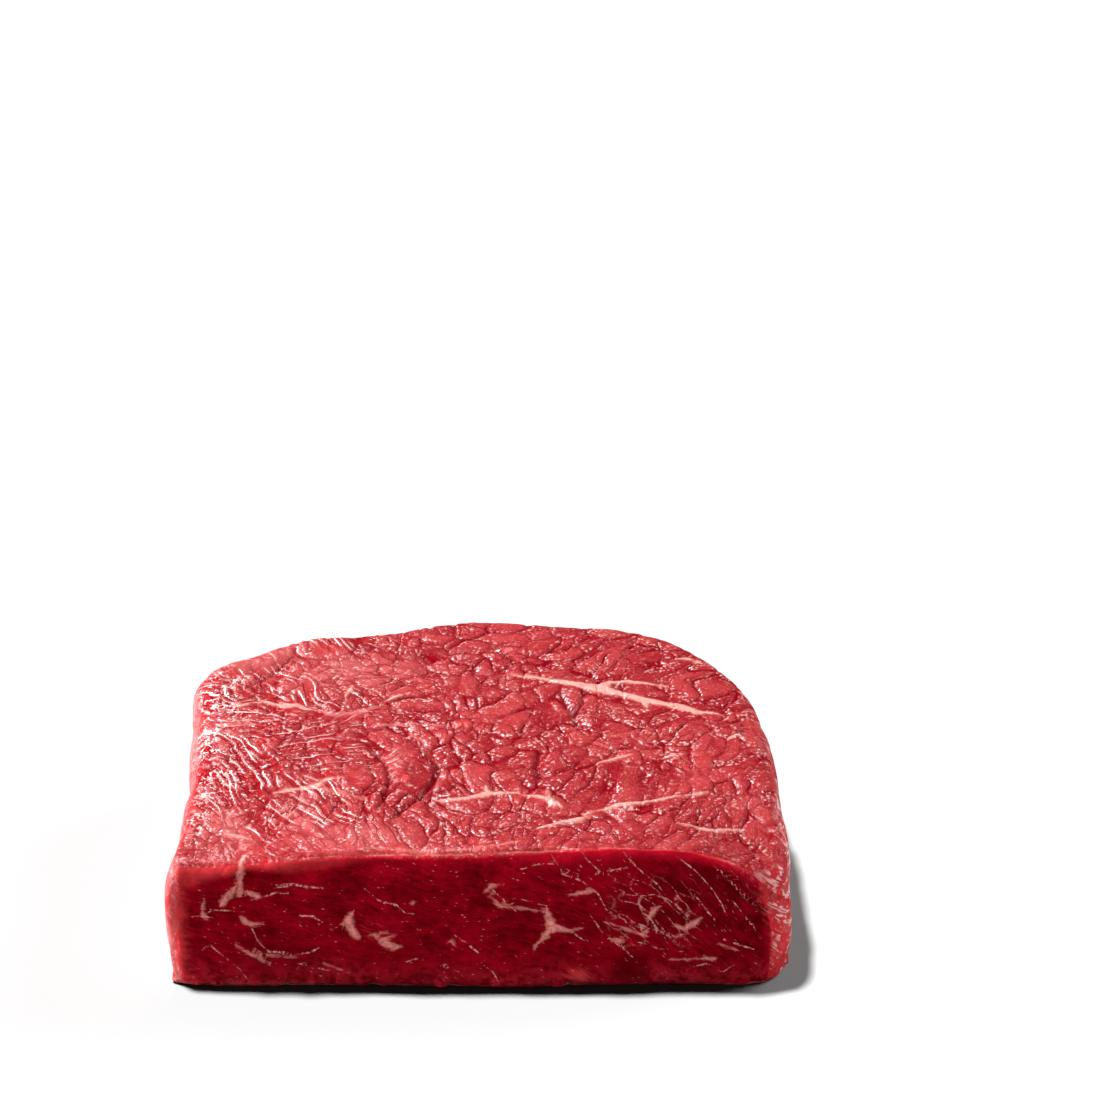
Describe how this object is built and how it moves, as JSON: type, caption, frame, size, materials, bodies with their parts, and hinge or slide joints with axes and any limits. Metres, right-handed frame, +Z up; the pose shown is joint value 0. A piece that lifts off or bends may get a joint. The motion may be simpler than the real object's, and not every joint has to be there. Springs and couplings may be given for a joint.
{
  "type": "raw beef rump steak",
  "caption": "Thick slice of raw beef with a straight knife-cut front, a rounded back, a cobbled top of muscle bundles and thin white fat veins.",
  "frame": {"origin": "middle of the bounding box of the flat underside", "axes": "+X along the straight knife cut, to the right as seen from the cut; +Y from the knife cut to the rounded back; +Z up through the thickness"},
  "size_m": [0.1108, 0.0948, 0.0272],
  "materials": {
    "raw_beef": "moist satin"
  },
  "bodies": {
    "root": {"steak": "raw_beef"}
  },
  "joints": []
}
